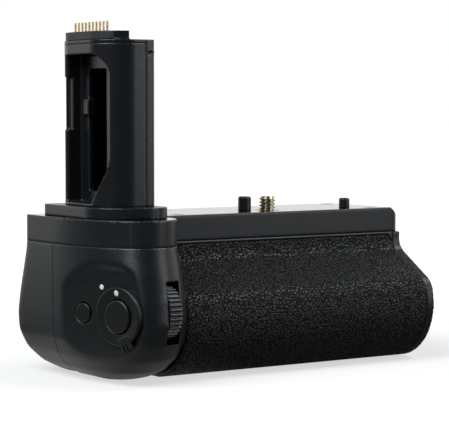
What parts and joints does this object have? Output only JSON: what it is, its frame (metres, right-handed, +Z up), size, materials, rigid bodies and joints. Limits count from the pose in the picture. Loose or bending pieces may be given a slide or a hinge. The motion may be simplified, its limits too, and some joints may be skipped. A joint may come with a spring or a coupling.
{
  "type": "camera battery grip",
  "caption": "Vertical battery grip for a camera: long rubber covered hand grip with a shutter pod, dials, a battery tray, a tripod screw and a contact tower.",
  "frame": {"origin": "axis of the tripod screw on the deck's top face", "axes": "+X along the grip towards the battery tray's door, +Y to the back, +Z up out of the deck"},
  "size_m": [0.1456, 0.078, 0.1278],
  "materials": {
    "case_plastic": "satin moulded",
    "control_plastic": "fine textured",
    "rubber_skin": "pebbled",
    "steel": "plated",
    "brass": "turned",
    "gold_contact": "gold plated",
    "circuit_board": "solder mask",
    "flat_cable": "polyimide film"
  },
  "bodies": {
    "grip": {"upper_case": "case_plastic", "lower_case": "case_plastic", "control_pod": "case_plastic", "pod_rear_cover": "case_plastic", "end_cap": "case_plastic", "grip_cover": "rubber_skin", "thumb_pad": "rubber_skin", "tower_flange": "case_plastic", "tower_shell": "case_plastic", "tower_back_cover": "case_plastic", "tower_cap": "case_plastic", "contact_block": "control_plastic", "contact_board": "circuit_board", "tower_ribbon": "flat_cable", "tower_screws": "steel", "screw_bush": "control_plastic", "gear_plate": "steel", "gear_plate_screws": "steel", "large_locating_pin": "control_plastic", "small_locating_pin": "control_plastic", "tripod_socket": "brass", "deck_screws": "steel", "pod_screws": "steel", "battery_chamber": "control_plastic", "chamber_contacts": "gold_contact", "main_board": "circuit_board", "board_screws": "steel", "control_board": "circuit_board", "shutter_switch": "steel", "fn_switch": "steel", "dial_bracket": "steel", "rear_dial_bracket": "steel", "af_switch": "steel", "rear_board": "circuit_board", "joystick_base": "steel"},
    "screw": {"tripod_screw": "brass", "screw_gear": "steel"},
    "wheel": {"attachment_wheel": "control_plastic", "wheel_gear": "steel", "wheel_axle": "steel"},
    "tray": {"battery_tray": "control_plastic", "tray_contacts": "gold_contact", "tray_end_cover": "case_plastic"},
    "latch": {"tray_latch": "control_plastic", "latch_clip": "steel"},
    "shutter": {"shutter_button": "control_plastic"},
    "collar": {"lock_collar": "control_plastic", "collar_clip": "steel"},
    "fn": {"fn_button": "control_plastic"},
    "front_wheel": {"front_dial": "control_plastic", "front_dial_axle": "steel"},
    "rear_wheel": {"rear_dial": "control_plastic", "rear_dial_axle": "steel"},
    "af": {"af_button": "control_plastic"},
    "gimbal": {"joystick_gimbal": "steel"},
    "stick": {"joystick": "control_plastic"},
    "contacts": {"contact_pins": "gold_contact"}
  },
  "joints": [
    {"name": "shutter_press", "type": "slide", "parent": "grip", "child": "shutter", "axis": [0.9598, 0.2807, 0], "range_m": [0, 0.0012], "stiffness_N_per_m": 1666.7},
    {"name": "lock_turn", "type": "hinge", "parent": "grip", "child": "collar", "pos_m": [-0.0814, -0.0281, -0.0331], "axis": [-0.9598, -0.2807, 0], "range_deg": [0, 38]},
    {"name": "fn_press", "type": "slide", "parent": "grip", "child": "fn", "axis": [0.9598, 0.2807, 0], "range_m": [0, 0.0008], "stiffness_N_per_m": 1875},
    {"name": "front_dial_spin", "type": "hinge", "parent": "grip", "child": "front_wheel", "pos_m": [-0.0662, -0.0308, -0.0322], "axis": [1, 0, 0], "continuous": true},
    {"name": "rear_dial_spin", "type": "hinge", "parent": "grip", "child": "rear_wheel", "pos_m": [-0.081, 0.02671, -0.028], "axis": [1, 0, 0], "continuous": true},
    {"name": "af_press", "type": "slide", "parent": "grip", "child": "af", "axis": [0, -1, 0], "range_m": [0, 0.001], "stiffness_N_per_m": 1500},
    {"name": "stick_tilt_level", "type": "hinge", "parent": "grip", "child": "gimbal", "pos_m": [-0.0709, 0.02978, -0.035], "axis": [1, 0, 0], "range_deg": [-9, 9], "stiffness_Nm_per_rad": 0.05},
    {"name": "stick_tilt_upright", "type": "hinge", "parent": "gimbal", "child": "stick", "pos_m": [-0.0709, 0.02978, -0.035], "axis": [0, 0, 1], "range_deg": [-9, 9], "stiffness_Nm_per_rad": 0.05},
    {"name": "wheel_turn", "type": "hinge", "parent": "grip", "child": "wheel", "pos_m": [0, 0.01472, 0], "axis": [0, 0, 1], "continuous": true},
    {"name": "screw_turn", "type": "hinge", "parent": "grip", "child": "screw", "pos_m": [0, 0, 0], "axis": [0, 0, 1], "continuous": true},
    {"name": "tray_slide", "type": "slide", "parent": "grip", "child": "tray", "axis": [1, 0, 0], "range_m": [0, 0.12]},
    {"name": "tray_latch_turn", "type": "hinge", "parent": "tray", "child": "latch", "pos_m": [0.055, 0.00289, -0.0406], "axis": [1, 0, 0], "range_deg": [0, 90]},
    {"name": "contacts_press", "type": "slide", "parent": "grip", "child": "contacts", "axis": [0, 0, -1], "range_m": [0, 0.0012], "stiffness_N_per_m": 3333.3}
  ],
  "couplings": [
    {"joint": "screw_turn", "follows": "wheel_turn", "ratio": -1}
  ]
}
